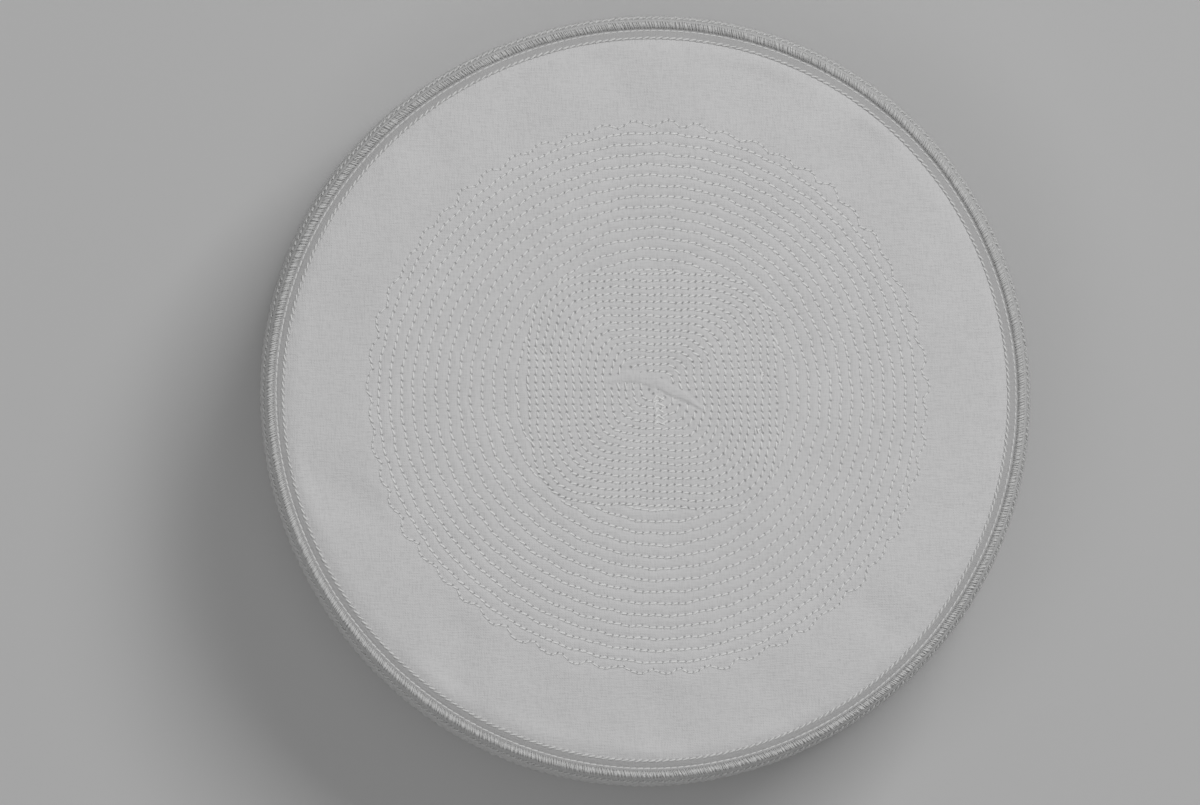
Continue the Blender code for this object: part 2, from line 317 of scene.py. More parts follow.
def turn_outline(name, outline, steps):
    """Turns an outline of (radius, height) points about Z in one piece, like a bowl on a lathe."""
    bpy.ops.object.select_all(action="DESELECT")
    first = outline[0]
    bpy.ops.mesh.primitive_plane_add(size=0.001, location=(first[0], 0.0, first[1]))
    piece = bpy.context.object
    piece.name = name
    piece.data.name = name
    bpy.ops.object.transform_apply(location=True, rotation=True, scale=True)
    bpy.ops.object.mode_set(mode="EDIT")
    bpy.ops.mesh.select_all(action="SELECT")
    bpy.ops.mesh.merge(type="CENTER")
    for low, high in zip(outline, outline[1:]):
        step = (high[0] - low[0], 0.0, high[1] - low[1])
        bpy.ops.mesh.extrude_region_move(TRANSFORM_OT_translate={"value": step})
    bpy.ops.mesh.select_all(action="SELECT")
    bpy.ops.mesh.remove_doubles(threshold=0.0000005)
    bpy.ops.mesh.spin(steps=steps, angle=math.tau, center=(0, 0, 0), axis=(0, 0, 1))
    bpy.ops.mesh.select_all(action="SELECT")
    bpy.ops.mesh.remove_doubles(threshold=0.000001)
    bpy.ops.mesh.normals_make_consistent(inside=False)
    bpy.ops.object.mode_set(mode="OBJECT")
    bpy.ops.object.shade_smooth()
    return piece


def round_places(piece):
    """Radius, turn and height of each of a turned piece's vertices."""
    places = np.empty(len(piece.data.vertices) * 3)
    piece.data.vertices.foreach_get("co", places)
    x, y, height = places.reshape(-1, 3).T
    return np.hypot(x, y), np.arctan2(y, x), height


def set_places(piece, places):
    piece.data.vertices.foreach_set("co", np.ascontiguousarray(places, dtype=np.float32).ravel())
    piece.data.update()


def corner_turns(piece, radius, turn):
    """Radius and turn of each face corner, and of its face, with no jump inside a face."""
    mesh = piece.data
    corners = np.empty(len(mesh.loops), dtype=np.int64)
    mesh.loops.foreach_get("vertex_index", corners)
    sizes = np.empty(len(mesh.polygons), dtype=np.int64)
    mesh.polygons.foreach_get("loop_total", sizes)
    face = np.repeat(np.arange(len(sizes)), sizes)
    weight = np.where(radius[corners] > 1e-5, 1.0, 0.0)
    face_x = np.bincount(face, np.cos(turn[corners]) * weight)
    face_y = np.bincount(face, np.sin(turn[corners]) * weight)
    face_turn = np.arctan2(face_y, face_x)[face]
    face_radius = (np.bincount(face, radius[corners]) / sizes)[face]
    jump = np.round((turn[corners] - face_turn) / math.tau) * math.tau
    corner_turn = np.where(weight > 0, turn[corners] - jump, face_turn)
    return corners, face, radius[corners], corner_turn, face_radius, face_turn


def add_map(piece, name, across, up):
    """Gives a piece a UV map from two lists with a value for each face corner."""
    layer = piece.data.uv_layers.new(name=name)
    layer.data.foreach_set("uv", np.stack([across, up], axis=-1).astype(np.float32).ravel())


def around_middle():
    """Shares of the way round the square middle's outline, against the direction from its centre."""
    steps = np.linspace(0.0, math.tau, 4001)
    power = 2 / MIDDLE_SQUARENESS
    x = MIDDLE_HALF_WIDTH * np.sign(np.cos(steps)) * np.abs(np.cos(steps)) ** power
    y = MIDDLE_HALF_HEIGHT * np.sign(np.sin(steps)) * np.abs(np.sin(steps)) ** power
    way = np.concatenate([[0.0], np.cumsum(np.hypot(np.diff(x), np.diff(y)))])
    direction = np.unwrap(np.arctan2(y, x))
    return direction, way / way[-1], way[-1]


MIDDLE_DIRECTIONS, MIDDLE_SHARES, MIDDLE_LENGTH = around_middle()


def ring_stitches(number):
    """How many stitches a ring has, and where the first one starts, as a share of a stitch."""
    count = np.round(math.tau * (QUILTING_RADIUS - number * RING_PITCH) / RING_STITCH)
    return count, np.mod(number * 0.37, 1.0)


def middle_stitches(number):
    """How many stitches a row of the square middle has: as many on each of its four sides."""
    length = MIDDLE_LENGTH * (1 - number * MIDDLE_PITCH / MIDDLE_HALF_WIDTH)
    return np.maximum(4, 4 * np.round(length / MIDDLE_STITCH / 4))


def crown_rows(piece, radius, turn):
    """Maps the crown so that whole numbers fall on the needle holes, as stitch and row numbers."""
    _, _, radius, turn, face_radius, face_turn = corner_turns(piece, radius, turn)
    ring = np.clip(np.round(ring_number(face_radius)), 0, RING_COUNT)
    count, start = ring_stitches(ring)
    stitch = count * turn / math.tau - start
    row = ring_number(radius)
    pitch = np.full(len(row), RING_PITCH)

    outside = face_radius > QUILTING_RADIUS + 0.4 * RING_PITCH
    plain = face_radius > QUILTING_RADIUS + 1.5 * RING_PITCH
    scalloped = scallop_number(turn) - scallop_number(0.0)
    stitch = np.where(outside, scalloped * STITCHES_IN_A_SCALLOP, stitch)
    row = np.where(outside, np.clip((radius - scallop_radius(turn)) / RING_PITCH, -0.5, 0.5), row)
    row = np.where(plain, 0.5, row)

    x, y = radius * np.cos(turn), radius * np.sin(turn)
    face_x, face_y = face_radius * np.cos(face_turn), face_radius * np.sin(face_turn)
    face_level = middle_level(face_x, face_y)
    number = np.clip(np.round(middle_row(face_level)), 0, None)
    face_direction = np.mod(np.arctan2(face_y, face_x), math.tau)
    direction = np.mod(np.arctan2(y, x), math.tau)
    jump = np.round((direction - face_direction) / math.tau)
    share = np.interp(direction, MIDDLE_DIRECTIONS, MIDDLE_SHARES) - jump
    inside = face_level <= 1 + 0.5 * MIDDLE_PITCH / MIDDLE_HALF_WIDTH
    stitch = np.where(inside, middle_stitches(number) * share, stitch)
    row = np.where(inside, middle_row(middle_level(x, y)), row)
    row = np.where(is_on_fold(face_x, face_y), 0.5, row)
    # Painted shade at the knots: the map sets each knot's dent close to a needle hole, so the holes' painted
    # shade darkens it.
    for knot_x, knot_y in KNOT_PLACES:
        knotted = np.hypot(face_x - knot_x, face_y - knot_y) < KNOT_SHADE_RADIUS
        stitch = np.where(knotted, 0.0, stitch)
        row = np.where(knotted, 0.12, row)
    pitch = np.where(inside, MIDDLE_PITCH, pitch)
    add_map(piece, "rows", stitch, row)
    gaps = piece.data.attributes.new("row_gap", "FLOAT", "CORNER")
    gaps.data.foreach_set("value", pitch.astype(np.float32))


def join(material, output, target):
    material.node_tree.links.new(output, target)


def add_node(material, kind, **values):
    """Adds a node and sets its sockets by name, with an underscore for each space."""
    node = material.node_tree.nodes.new(kind)
    for name, value in values.items():
        socket = node.inputs[name.replace("_", " ")]
        if isinstance(value, bpy.types.NodeSocket):
            join(material, value, socket)
        else:
            socket.default_value = value
    return node


def reckon(material, operation, first, second=0.0, third=0.0):
    """One step of arithmetic on node outputs and numbers."""
    node = material.node_tree.nodes.new("ShaderNodeMath")
    node.operation = operation
    for socket, value in zip(node.inputs, (first, second, third)):
        if isinstance(value, bpy.types.NodeSocket):
            join(material, value, socket)
        else:
            socket.default_value = value
    return node.outputs[0]


def streaks(material, places, size, seed):
    """Noise stretched by a size in metres each way, from 0 to 1."""
    stretch = add_node(material, "ShaderNodeMapping", Vector=places)
    stretch.inputs["Location"].default_value = (seed * 3.7, seed * 1.9, seed)
    stretch.inputs["Scale"].default_value = [1 / length for length in size]
    noise = add_node(material, "ShaderNodeTexNoise", Vector=stretch.outputs[0], Scale=1.0, Detail=2.0)
    return noise.outputs[0]


def blend_colours(material, share, first, second):
    mix = material.node_tree.nodes.new("ShaderNodeMix")
    mix.data_type = "RGBA"
    join(material, share, mix.inputs["Factor"])
    for socket, colour in ((mix.inputs[6], first), (mix.inputs[7], second)):
        if isinstance(colour, bpy.types.NodeSocket):
            join(material, colour, socket)
        else:
            socket.default_value = (*colour, 1.0)
    return mix.outputs[2]


def woven_cotton(name, pale, dull, cloth_map=None, with_rows=False):
    """Plain-weave cotton: crossing yarns with slubs, a faint uneven tint, a soft nap, and painted shade in
    the low places between slubs and, with rows, in the needle holes.
    """
    material = bpy.data.materials.new(name)
    material.use_nodes = True
    surface = material.node_tree.nodes["Principled BSDF"]
    surface.inputs["Roughness"].default_value = 0.92
    surface.inputs["Specular IOR Level"].default_value = 0.25
    surface.inputs["Sheen Weight"].default_value = 0.12
    surface.inputs["Sheen Roughness"].default_value = 0.45
    if cloth_map:
        places = material.node_tree.nodes.new("ShaderNodeUVMap")
        places.uv_map = cloth_map
        places = places.outputs[0]
    else:
        places = material.node_tree.nodes.new("ShaderNodeTexCoord").outputs["Object"]
    solid = material.node_tree.nodes.new("ShaderNodeTexCoord").outputs["Object"]

    parts = add_node(material, "ShaderNodeSeparateXYZ", Vector=places).outputs
    yarns = math.pi / YARN_PITCH
    warp = reckon(material, "SINE", reckon(material, "MULTIPLY", parts[0], yarns))
    weft = reckon(material, "SINE", reckon(material, "MULTIPLY", parts[1], yarns))
    weave = reckon(material, "MULTIPLY", warp, weft)
    slubs = reckon(
        material,
        "ADD",
        streaks(material, places, SLUB_SIZES[0], 1),
        streaks(material, places, SLUB_SIZES[1], 2),
    )
    nap = streaks(material, solid, (NAP_SIZE, NAP_SIZE, NAP_SIZE), 3)
    cloud = streaks(material, solid, (CLOUD_SIZE, CLOUD_SIZE, CLOUD_SIZE), 4)

    height = reckon(material, "MULTIPLY", weave, WEAVE_HEIGHT)
    height = reckon(material, "MULTIPLY_ADD", slubs, SLUB_HEIGHT, height)
    height = reckon(material, "MULTIPLY_ADD", nap, NAP_HEIGHT, height)
    colour = blend_colours(material, cloud, dull, pale)
    # Painted shade: the cloth is darkened where the slubs leave its face low.
    painted_shade = reckon(material, "MULTIPLY_ADD", slubs, -0.26, 0.28)
    if with_rows:
        rows = material.node_tree.nodes.new("ShaderNodeUVMap")
        rows.uv_map = "rows"
        numbers = add_node(material, "ShaderNodeSeparateXYZ", Vector=rows.outputs[0]).outputs
        gap = material.node_tree.nodes.new("ShaderNodeAttribute")
        gap.attribute_name = "row_gap"
        from_hole = []
        for number, length in ((numbers[0], RING_STITCH), (numbers[1], gap.outputs["Fac"])):
            whole = reckon(material, "ROUND", number)
            rest = reckon(material, "SUBTRACT", number, whole)
            from_hole.append(reckon(material, "MULTIPLY", rest, length))
        squares = reckon(material, "POWER", reckon(material, "ABSOLUTE", from_hole[0]), 2.0)
        squares = reckon(material, "MULTIPLY_ADD", from_hole[1], from_hole[1], squares)
        away = reckon(material, "SQRT", squares)
        fade = add_node(material, "ShaderNodeMapRange", Value=away, To_Min=1.0, To_Max=0.0)
        fade.inputs["From Min"].default_value = HOLE_RADIUS
        fade.inputs["From Max"].default_value = HOLE_FADE_RADIUS
        hole = fade.outputs[0]
        height = reckon(material, "MULTIPLY_ADD", hole, -HOLE_DEPTH, height)
        # Painted shade: the cloth's colour darkens round each needle hole.
        painted_shade = reckon(material, "MULTIPLY_ADD", hole, HOLE_PAINTED_SHADE, painted_shade)
    painted_shade = reckon(material, "MAXIMUM", painted_shade, 0.0)
    colour = blend_colours(material, painted_shade, colour, SHADE_COLOUR)
    join(material, colour, surface.inputs["Base Color"])
    bump = add_node(material, "ShaderNodeBump", Height=height, Distance=1.0, Strength=1.0)
    join(material, bump.outputs[0], surface.inputs["Normal"])
    return material


def crown_outline():
    """The crown's section from the middle of its face, round its edge, to the middle underneath."""
    fine = RING_PITCH / LOOPS_IN_A_PITCH
    count = int(QUILTING_RADIUS / fine)
    radii = [QUILTING_RADIUS + fine * number for number in range(-count, 9)]
    shoulder = CROWN_RADIUS - SHOULDER_WIDTH
    radii += list(np.linspace(radii[-1], shoulder, 15)[1:])
    radii += list(np.linspace(shoulder, CROWN_RADIUS, 10)[1:])
    face = [(0.0, crown_level(0.0))] + [(radius, crown_level(radius)) for radius in radii]
    under = [(radius, crown_level(radius) - CROWN_WALL) for radius in np.linspace(CROWN_RADIUS, 0.0, 41)]
    return face + under


crown_cloth = turn_outline("crown_cloth", crown_outline(), STEPS_ROUND)
round_radius, round_turn, round_height = round_places(crown_cloth)
is_face = round_height > crown_level(round_radius) - CROWN_WALL / 2
crown_rows(crown_cloth, round_radius, round_turn)
pulled = np.where(is_face, quilted(round_radius, round_turn), CROWN_WALL)
set_places(crown_cloth, on_crown(round_radius, round_turn, pulled))
crown_cloth.data.materials.append(woven_cotton("quilted_white_cotton", *CROWN_TINTS, with_rows=True))
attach(crown_cloth, "root")
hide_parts("crown_top")

# Ring stitches
# Fourteen rings of machine lockstitch in white cotton thread. Each stitch rises out of one needle
# hole, lies on the cloth with a slight slant, and dives into the next hole.
THREAD_RADIUS = 0.00023
PLIES_IN_A_METRE = 2400.0
PLY_HEIGHT = 0.00003
# How much darker the thread is painted in the grooves between plies: painted shade.
PLY_PAINTED_SHADE = 0.84


def model_thread(sides, rings):
    """One stitch of unit length and radius: a strand that narrows at its ends, as its rings say."""
    bpy.ops.object.select_all(action="DESELECT")
    bpy.ops.mesh.primitive_circle_add(vertices=sides, radius=0.53, fill_type="NGON")
    strand = bpy.context.object
    bpy.ops.object.mode_set(mode="EDIT")
    bpy.ops.mesh.select_all(action="SELECT")
    for step, widening in rings:
        bpy.ops.mesh.extrude_region_move(TRANSFORM_OT_translate={"value": (0.0, 0.0, step)})
        bpy.ops.transform.resize(value=(widening, widening, 1.0))
    bpy.ops.mesh.select_all(action="SELECT")
    bpy.ops.mesh.normals_make_consistent(inside=False)
    bpy.ops.object.mode_set(mode="OBJECT")
    places = np.empty(len(strand.data.vertices) * 3)
    strand.data.vertices.foreach_get("co", places)
    faces = [list(face.vertices) for face in strand.data.polygons]
    bpy.data.objects.remove(strand)
    return places.reshape(-1, 3), faces


ROUND_STRAND = model_thread(5, [(0.12, 1.45), (0.35, 1.30), (0.35, 0.96), (0.18, 0.55)])


def sewing_thread(name, colour, roughness):
    """Twisted thread: plies that wind round the strand, brighter than the cloth round it, with painted shade
    in the grooves between the plies and an uneven tone.
    """
    material = bpy.data.materials.new(name)
    material.use_nodes = True
    surface = material.node_tree.nodes["Principled BSDF"]
    surface.inputs["Roughness"].default_value = roughness
    surface.inputs["Specular IOR Level"].default_value = 0.4
    surface.inputs["Sheen Weight"].default_value = 0.15
    thread = material.node_tree.nodes.new("ShaderNodeUVMap")
    thread.uv_map = "thread"
    parts = add_node(material, "ShaderNodeSeparateXYZ", Vector=thread.outputs[0]).outputs
    round_strand = reckon(material, "MULTIPLY", parts[1], 2.0)
    wind = reckon(material, "MULTIPLY_ADD", parts[0], PLIES_IN_A_METRE, round_strand)
    plies = reckon(material, "SINE", reckon(material, "MULTIPLY", wind, math.pi))
    plies = reckon(material, "ABSOLUTE", plies)
    solid = material.node_tree.nodes.new("ShaderNodeTexCoord").outputs["Object"]
    uneven = streaks(material, solid, (0.0015, 0.0015, 0.0015), 5)
    # Painted shade in the ply grooves, varied by a random unevenness of tone.
    painted_ply_shade_colour = [PLY_PAINTED_SHADE * value for value in colour]
    share = reckon(material, "MULTIPLY", plies, reckon(material, "MULTIPLY_ADD", uneven, 0.6, 0.5))
    share = reckon(material, "MINIMUM", share, 1.0)
    join(material, blend_colours(material, share, painted_ply_shade_colour, colour), surface.inputs["Base Color"])
    height = reckon(material, "MULTIPLY", plies, PLY_HEIGHT)
    bump = add_node(material, "ShaderNodeBump", Height=height, Distance=1.0, Strength=1.0)
    join(material, bump.outputs[0], surface.inputs["Normal"])
    return material


def sew(
    name,
    starts,
    ends,
    ups,
    finish,
    strand=ROUND_STRAND,
    radius=THREAD_RADIUS,
    arch=0.00020,
    sunk=0.00008,
    slant=0.00014,
    full=1.0,
):
    """Lays one strand for each pair of needle holes and joins them all into one piece.

    Arch is how high a strand's middle stands over its ends, which lie sunk in the cloth, slant how
    far it turns out of its row, and full how blunt the arch is: less than 1 is blunter.
    """
    chance = np.random.default_rng(len(starts))
    count = len(starts)
    along = ends - starts
    length = np.linalg.norm(along, axis=1)[:, None]
    along = along / length
    side = np.cross(ups, along)
    side = side / np.linalg.norm(side, axis=1)[:, None]
    up = np.cross(along, side)
    strand_places, strand_faces = strand
    share = strand_places[:, 2][None, :]
    thick = radius * chance.uniform(0.85, 1.15, (count, 1))
    rise = arch * chance.uniform(0.75, 1.25, (count, 1)) * np.sin(np.pi * share) ** full - sunk
    lean = slant * chance.uniform(0.6, 1.4, (count, 1)) * (2 * share - 1)
    forward = length * share
    sideways = thick * strand_places[:, 0][None, :] + lean
    upwards = thick * strand_places[:, 1][None, :] + rise
    places = starts[:, None, :] + along[:, None, :] * forward[:, :, None]
    places = places + side[:, None, :] * sideways[:, :, None] + up[:, None, :] * upwards[:, :, None]
    per_strand = len(strand_places)
    faces = [
        [vertex + number * per_strand for vertex in face] for number in range(count) for face in strand_faces
    ]
    mesh = bpy.data.meshes.new(name)
    mesh.from_pydata(places.reshape(-1, 3).tolist(), [], faces)
    mesh.shade_smooth()
    corners = np.empty(len(mesh.loops), dtype=np.int64)
    mesh.loops.foreach_get("vertex_index", corners)
    round_share = np.arctan2(strand_places[:, 1], strand_places[:, 0]) / math.tau + 0.5
    distance = np.broadcast_to(forward, (count, per_strand)).ravel()[corners]
    piece = bpy.data.objects.new(name, mesh)
    bpy.context.scene.collection.objects.link(piece)
    add_map(piece, "thread", distance, np.tile(round_share, count)[corners])
    mesh.materials.append(finish)
    bpy.ops.object.select_all(action="DESELECT")
    bpy.context.view_layer.objects.active = piece
    piece.select_set(True)
    bpy.ops.object.mode_set(mode="EDIT")
    bpy.ops.mesh.select_all(action="SELECT")
    bpy.ops.mesh.normals_make_consistent(inside=False)
    bpy.ops.object.mode_set(mode="OBJECT")
    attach(piece, "root")
    return piece


def straight_up(count):
    return np.tile([0.0, 0.0, 1.0], (count, 1))


def crown_hole(radius, turn):
    """A needle hole's place on the quilted face."""
    return on_crown(radius, turn, quilted(radius, turn))


def is_in_middle(radius, turn):
    return middle_level(radius * np.cos(turn), radius * np.sin(turn)) < 1.02


ring_starts = []
ring_ends = []
for ring in range(RING_COUNT):
    ring_radius = QUILTING_RADIUS - ring * RING_PITCH
    stitch_count, first_start = ring_stitches(ring)
    turns = (np.arange(stitch_count + 1) + first_start) * math.tau / stitch_count
    outside = ~is_in_middle(ring_radius, (turns[:-1] + turns[1:]) / 2)
    holes = crown_hole(np.full(len(turns), ring_radius), turns)
    ring_starts.append(holes[:-1][outside])
    ring_ends.append(holes[1:][outside])
ring_starts = np.concatenate(ring_starts)
ring_ends = np.concatenate(ring_ends)
quilting_thread = sewing_thread("white_quilting_thread", (0.96, 0.96, 0.955), 0.55)
ring_ups = straight_up(len(ring_starts))
ring_sewing = sew("ring_stitches", ring_starts, ring_ends, ring_ups, quilting_thread)

# Stitches of the square middle
# The same lockstitch in close rows, one inside another, round a short fold of spare cloth. A few
# chevrons run down from the fold, and the thread is knotted off in three places.
CHEVRON_X = 0.0012
CHEVRON_TOP = -0.0014
CHEVRON_STEP = 0.00145
CHEVRON_COUNT = 5
CHEVRON_REACH = 0.0013
FOLD_CLEARANCE = 0.0004
MIDDLE_THREAD_RADIUS = 0.00024
MIDDLE_SLANT = 0.00024
KNOT_STRANDS = 3
KNOT_REACH = (0.0003, 0.0007)
KNOT_SHIFT = 0.0003


def middle_hole(x, y):
    """A needle hole's place, from x and y measured from the centre of the square middle."""
    return crown_hole(np.hypot(x, y), np.arctan2(y, x))


middle_starts = []
middle_ends = []
row_count = int(MIDDLE_HALF_WIDTH / MIDDLE_PITCH)
for row in range(row_count):
    level = 1 - row * MIDDLE_PITCH / MIDDLE_HALF_WIDTH
    stitch_count = int(middle_stitches(row))
    shares = np.arange(stitch_count + 1) / stitch_count
    direction = np.interp(shares, MIDDLE_SHARES, MIDDLE_DIRECTIONS)
    reach = level / middle_level(np.cos(direction), np.sin(direction))
    x = reach * np.cos(direction)
    y = reach * np.sin(direction)
    clear = ~is_on_fold((x[1:] + x[:-1]) / 2, (y[1:] + y[:-1]) / 2, FOLD_CLEARANCE)
    holes = middle_hole(x, y)
    middle_starts.append(holes[:-1][clear])
    middle_ends.append(holes[1:][clear])
for number in range(CHEVRON_COUNT):
    tip_y = CHEVRON_TOP - number * CHEVRON_STEP
    tip = middle_hole(np.array([CHEVRON_X]), np.array([tip_y]))
    for side in (-1, 1):
        foot_x = np.array([CHEVRON_X + side * CHEVRON_REACH])
        middle_starts.append(tip)
        middle_ends.append(middle_hole(foot_x, np.array([tip_y - CHEVRON_REACH])))
chance = np.random.default_rng(7)
for knot_x, knot_y in KNOT_PLACES:
    for _ in range(KNOT_STRANDS):
        lean = chance.uniform(0.0, math.tau)
        reach = chance.uniform(*KNOT_REACH)
        shift = chance.uniform(-KNOT_SHIFT, KNOT_SHIFT, 2)
        step_x = reach * math.cos(lean)
        step_y = reach * math.sin(lean)
        for hand, places in ((-1, middle_starts), (1, middle_ends)):
            hole_x = np.array([knot_x + shift[0] + hand * step_x])
            hole_y = np.array([knot_y + shift[1] + hand * step_y])
            places.append(middle_hole(hole_x, hole_y))
middle_starts = np.concatenate(middle_starts)
middle_ends = np.concatenate(middle_ends)
middle_sewing = sew(
    "middle_stitches",
    middle_starts,
    middle_ends,
    straight_up(len(middle_starts)),
    quilting_thread,
    radius=MIDDLE_THREAD_RADIUS,
    slant=MIDDLE_SLANT,
)

# Scalloped line
# One line of the same white cotton lockstitch, in a finer thread, swings out and in round the
# rings, in arcs of five stitches.
SCALLOP_THREAD_RADIUS = 0.00018
scallop_count = SCALLOPS * STITCHES_IN_A_SCALLOP
fine_turns = np.linspace(0.0, math.tau, 4001)
scallop_places = np.linspace(scallop_number(0.0), scallop_number(math.tau), scallop_count + 1)
scallop_turns = np.interp(scallop_places, scallop_number(fine_turns), fine_turns)
scallop_holes = crown_hole(scallop_radius(scallop_turns), scallop_turns)
scallop_sewing = sew(
    "scallop_stitches",
    scallop_holes[:-1],
    scallop_holes[1:],
    straight_up(scallop_count),
    quilting_thread,
    radius=SCALLOP_THREAD_RADIUS,
)

# Side band cloth
# The stiff wall is several layers of white cotton. It widens towards the head opening, and its
# lower edge is turned up inside as a hem, which is plain and smooth outside.
HEM_HEIGHT = 0.0100
HEM_WALL = 0.0028
EDGE_ROUNDING = 0.0004
BAND_ROW_PITCH = 0.0023
BAND_ROW_RELIEF = 0.00016
BAND_SET_BACK = 0.00035
BAND_TOP_MARGIN = 0.0008
HEM_SEAM_DEPTH = 0.00030
HEM_SEAM_WIDTH = 0.0005
# The stitched wall has a darker copy of the hem's white cotton: painted shade between the rows of stitches
# and on the steep wall that light only grazes.
STITCHED_TINTS_PAINTED_SHADE = ((0.65, 0.65, 0.645), (0.57, 0.57, 0.57))
PLAIN_TINTS = ((0.75, 0.75, 0.745), (0.69, 0.69, 0.69))


def band_radius(height):
    """Outer radius of the side band at a height: a flare with a belly and a rounded top."""
    share = height / BAND_HEIGHT
    past_wall = np.maximum(0.0, (height - BAND_HEIGHT + TOP_ROUNDING_HEIGHT) / TOP_ROUNDING_HEIGHT)
    belly = 4 * BAND_BELLY * share * (1 - share)
    return RIM_RADIUS - BAND_FLARE * share + belly - TOP_ROUNDING * past_wall**2


def band_relief(height):
    """How far the rows of stitching and the hem's seam pull the outer face in."""
    above_hem = smooth((height - HEM_HEIGHT) / 0.0006)
    in_rows = above_hem * smooth((BAND_HEIGHT - BAND_TOP_MARGIN - height) / 0.0010)
    rows = (BAND_SET_BACK + BAND_ROW_RELIEF * groove((height - HEM_HEIGHT) / BAND_ROW_PITCH)) * in_rows
    seam = HEM_SEAM_DEPTH * np.exp(-(((height - HEM_HEIGHT) / HEM_SEAM_WIDTH) ** 2))
    return rows + seam


def band_outline():
    """The wall's section from its top edge down the outside, round the hem and up the inside."""
    heights = np.linspace(BAND_HEIGHT - EDGE_ROUNDING, HEM_HEIGHT + BAND_ROW_PITCH, 108)
    heights = list(heights) + list(np.linspace(HEM_HEIGHT + BAND_ROW_PITCH, HEM_HEIGHT - 0.001, 12)[1:])
    heights += list(np.linspace(HEM_HEIGHT - 0.001, EDGE_ROUNDING, 8)[1:])
    outer = [(band_radius(BAND_HEIGHT) - EDGE_ROUNDING, BAND_HEIGHT)]
    outer += [(band_radius(height) - band_relief(height), height) for height in heights]
    outer.append((RIM_RADIUS - EDGE_ROUNDING, 0.0))
    hem_top = HEM_HEIGHT + HEM_WALL - BAND_WALL
    inner = [(RIM_RADIUS - HEM_WALL + EDGE_ROUNDING, 0.0)]
    inner += [(band_radius(height) - HEM_WALL, height) for height in (EDGE_ROUNDING, 0.005, HEM_HEIGHT)]
    inner.append((band_radius(hem_top) - BAND_WALL, hem_top))
    inner += [
        (band_radius(height) - BAND_WALL, height) for height in np.linspace(hem_top, BAND_HEIGHT, 24)[1:]
    ]
    return outer + inner + outer[:1]


def on_band(radius, turn, height):
    """A place of the side band, the tape or the roll as it is sewn."""
    x, y = as_sewn(radius, turn, height)
    return np.stack([x - RIM_MIDDLE[0], y - RIM_MIDDLE[1], height + np.zeros_like(x)], axis=-1)


def cloth_along_and_up(piece, radius, turn, height):
    """Maps a turned strip by its length round the cap and its height, in metres."""
    corners, _, _, corner_turn, _, _ = corner_turns(piece, radius, turn)
    add_map(piece, "cloth", corner_turn * RIM_RADIUS, height[corners])


band_cloth = turn_outline("band_cloth", band_outline(), 360)
round_radius, round_turn, round_height = round_places(band_cloth)
cloth_along_and_up(band_cloth, round_radius, round_turn, round_height)
set_places(band_cloth, on_band(round_radius, round_turn, round_height))
band_cloth.data.materials.append(woven_cotton("stitched_band_cotton_painted_shade", *STITCHED_TINTS_PAINTED_SHADE, cloth_map="cloth"))
band_cloth.data.materials.append(woven_cotton("plain_hem_cotton", *PLAIN_TINTS, cloth_map="cloth"))
# Faces of the stitched wall take the darker cotton with painted shade; the hem's faces keep the plain one.
stitched_wall = band_radius(round_height) - BAND_SET_BACK - 2 * BAND_ROW_RELIEF
corners, face, *_ = corner_turns(band_cloth, round_radius, round_turn)
is_plain = (round_height < HEM_HEIGHT - 0.0008) | (round_radius < stitched_wall)
is_plain = np.bincount(face, is_plain[corners]) > 1.5
band_cloth.data.polygons.foreach_set("material_index", is_plain.astype(np.int32))
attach(band_cloth, "root")
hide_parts("side_band")

# Band stitches
# The wall is covered in close rows of slanting white stitches that lean one way and then the
# other, so that they read as a herringbone. A plain row holds the hem.
BAND_STITCH_STEP = 0.00155
BAND_STITCH_LEAN = 0.00125
BAND_STITCH_RISE = 0.92 * BAND_ROW_PITCH
BAND_ROW_FOOT = 0.0004
BAND_ROW_SHIFT = 0.31
BAND_THREAD_RADIUS = 0.00030
BAND_THREAD_ARCH = 0.00042
HEM_STITCH = 0.0021
HEM_ROW_DROP = 0.0014
FLAT_STRAND = model_thread(4, [(0.25, 1.75), (0.50, 1.00), (0.25, 0.57)])


def band_up(turns):
    return np.stack([np.cos(turns), np.sin(turns), np.zeros_like(turns)], axis=-1)


def band_hole(turns, height):
    radius = band_radius(height) - band_relief(height)
    return on_band(radius + np.zeros_like(turns), turns, height + np.zeros_like(turns))


def band_rows(name, first, last, finish):
    """A block of herringbone rows, from one row number up to another."""
    starts, ends, ups = [], [], []
    step_count = int(round(math.tau * RIM_RADIUS / BAND_STITCH_STEP))
    for row in range(first, last):
        low = HEM_HEIGHT + BAND_ROW_FOOT + row * BAND_ROW_PITCH
        high = low + BAND_STITCH_RISE
        turns = (np.arange(step_count) + BAND_ROW_SHIFT * row) * math.tau / step_count
        lean = BAND_STITCH_LEAN / RIM_RADIUS * (1 if row % 2 else -1)
        starts.append(band_hole(turns, low))
        ends.append(band_hole(turns + lean, high))
        ups.append(band_up(turns))
    sewing = sew(
        name,
        np.concatenate(starts),
        np.concatenate(ends),
        np.concatenate(ups),
        finish,
        strand=FLAT_STRAND,
        radius=BAND_THREAD_RADIUS,
        arch=BAND_THREAD_ARCH,
        sunk=0.00010,
        slant=0.0,
        full=0.8,
    )


